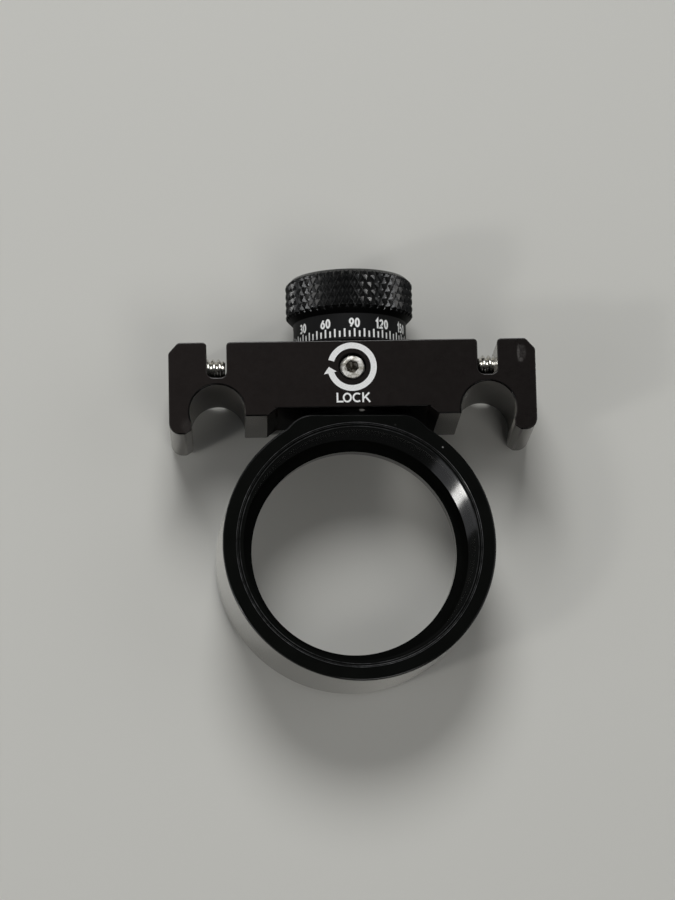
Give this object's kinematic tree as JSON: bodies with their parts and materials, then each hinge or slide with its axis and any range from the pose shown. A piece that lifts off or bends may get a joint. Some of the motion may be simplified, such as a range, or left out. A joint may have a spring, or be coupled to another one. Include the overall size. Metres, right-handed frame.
{
  "type": "optical lens mount",
  "caption": "Pivoting mount for a round optic: threaded ring on a vertical post through a two-rod clip plate, with a lock screw and a knurled angle-scale knob.",
  "frame": {"origin": "centre of the optic's seat, where the pivot axis crosses the front face of the seat lip", "axes": "+X along the clip plate, to the right seen from the front; +Y up the pivot axis, from the ring towards the knob; +Z out of the plate's front face, which is up when the part lies on its back"},
  "size_m": [0.0406, 0.046, 0.0146],
  "materials": {
    "plate_black": "matt black anodised, slightly brown",
    "ring_black": "satin black anodised",
    "knob_black": "satin black anodised with white-filled engraving",
    "washer_black": "plain black acetal",
    "spring_steel": "plain spring steel",
    "screw_steel": "plain stainless steel",
    "cap_screw_black": "black oxide",
    "tip_brass": "plain brass"
  },
  "bodies": {
    "plate": {"clip_plate": "plate_black"},
    "rotor": {"optic_ring": "ring_black", "thrust_washer": "washer_black", "disc_spring": "spring_steel", "knob": "knob_black", "knob_washer": "screw_steel", "knob_screw": "cap_screw_black"},
    "lock": {"lock_screw": "screw_steel", "lock_tip": "tip_brass"},
    "left_pinch": {"clip_screw_left": "screw_steel"},
    "right_pinch": {"clip_screw_right": "screw_steel"}
  },
  "joints": [
    {"name": "pivot_turn", "type": "hinge", "parent": "plate", "child": "rotor", "pos_m": [0, 0.019, 0], "axis": [0, 1, 0], "continuous": true},
    {"name": "lock_turn", "type": "hinge", "parent": "plate", "child": "lock", "pos_m": [0, 0.01991, 0.005], "axis": [0, 0, 1], "range_deg": [-15, 360]},
    {"name": "left_pinch_turn", "type": "hinge", "parent": "plate", "child": "left_pinch", "pos_m": [-0.017, 0.02087, 0], "axis": [-1, 0, 0], "range_deg": [-90, 360]},
    {"name": "right_pinch_turn", "type": "hinge", "parent": "plate", "child": "right_pinch", "pos_m": [0.017, 0.02087, 0], "axis": [1, 0, 0], "range_deg": [-190, 360]}
  ]
}
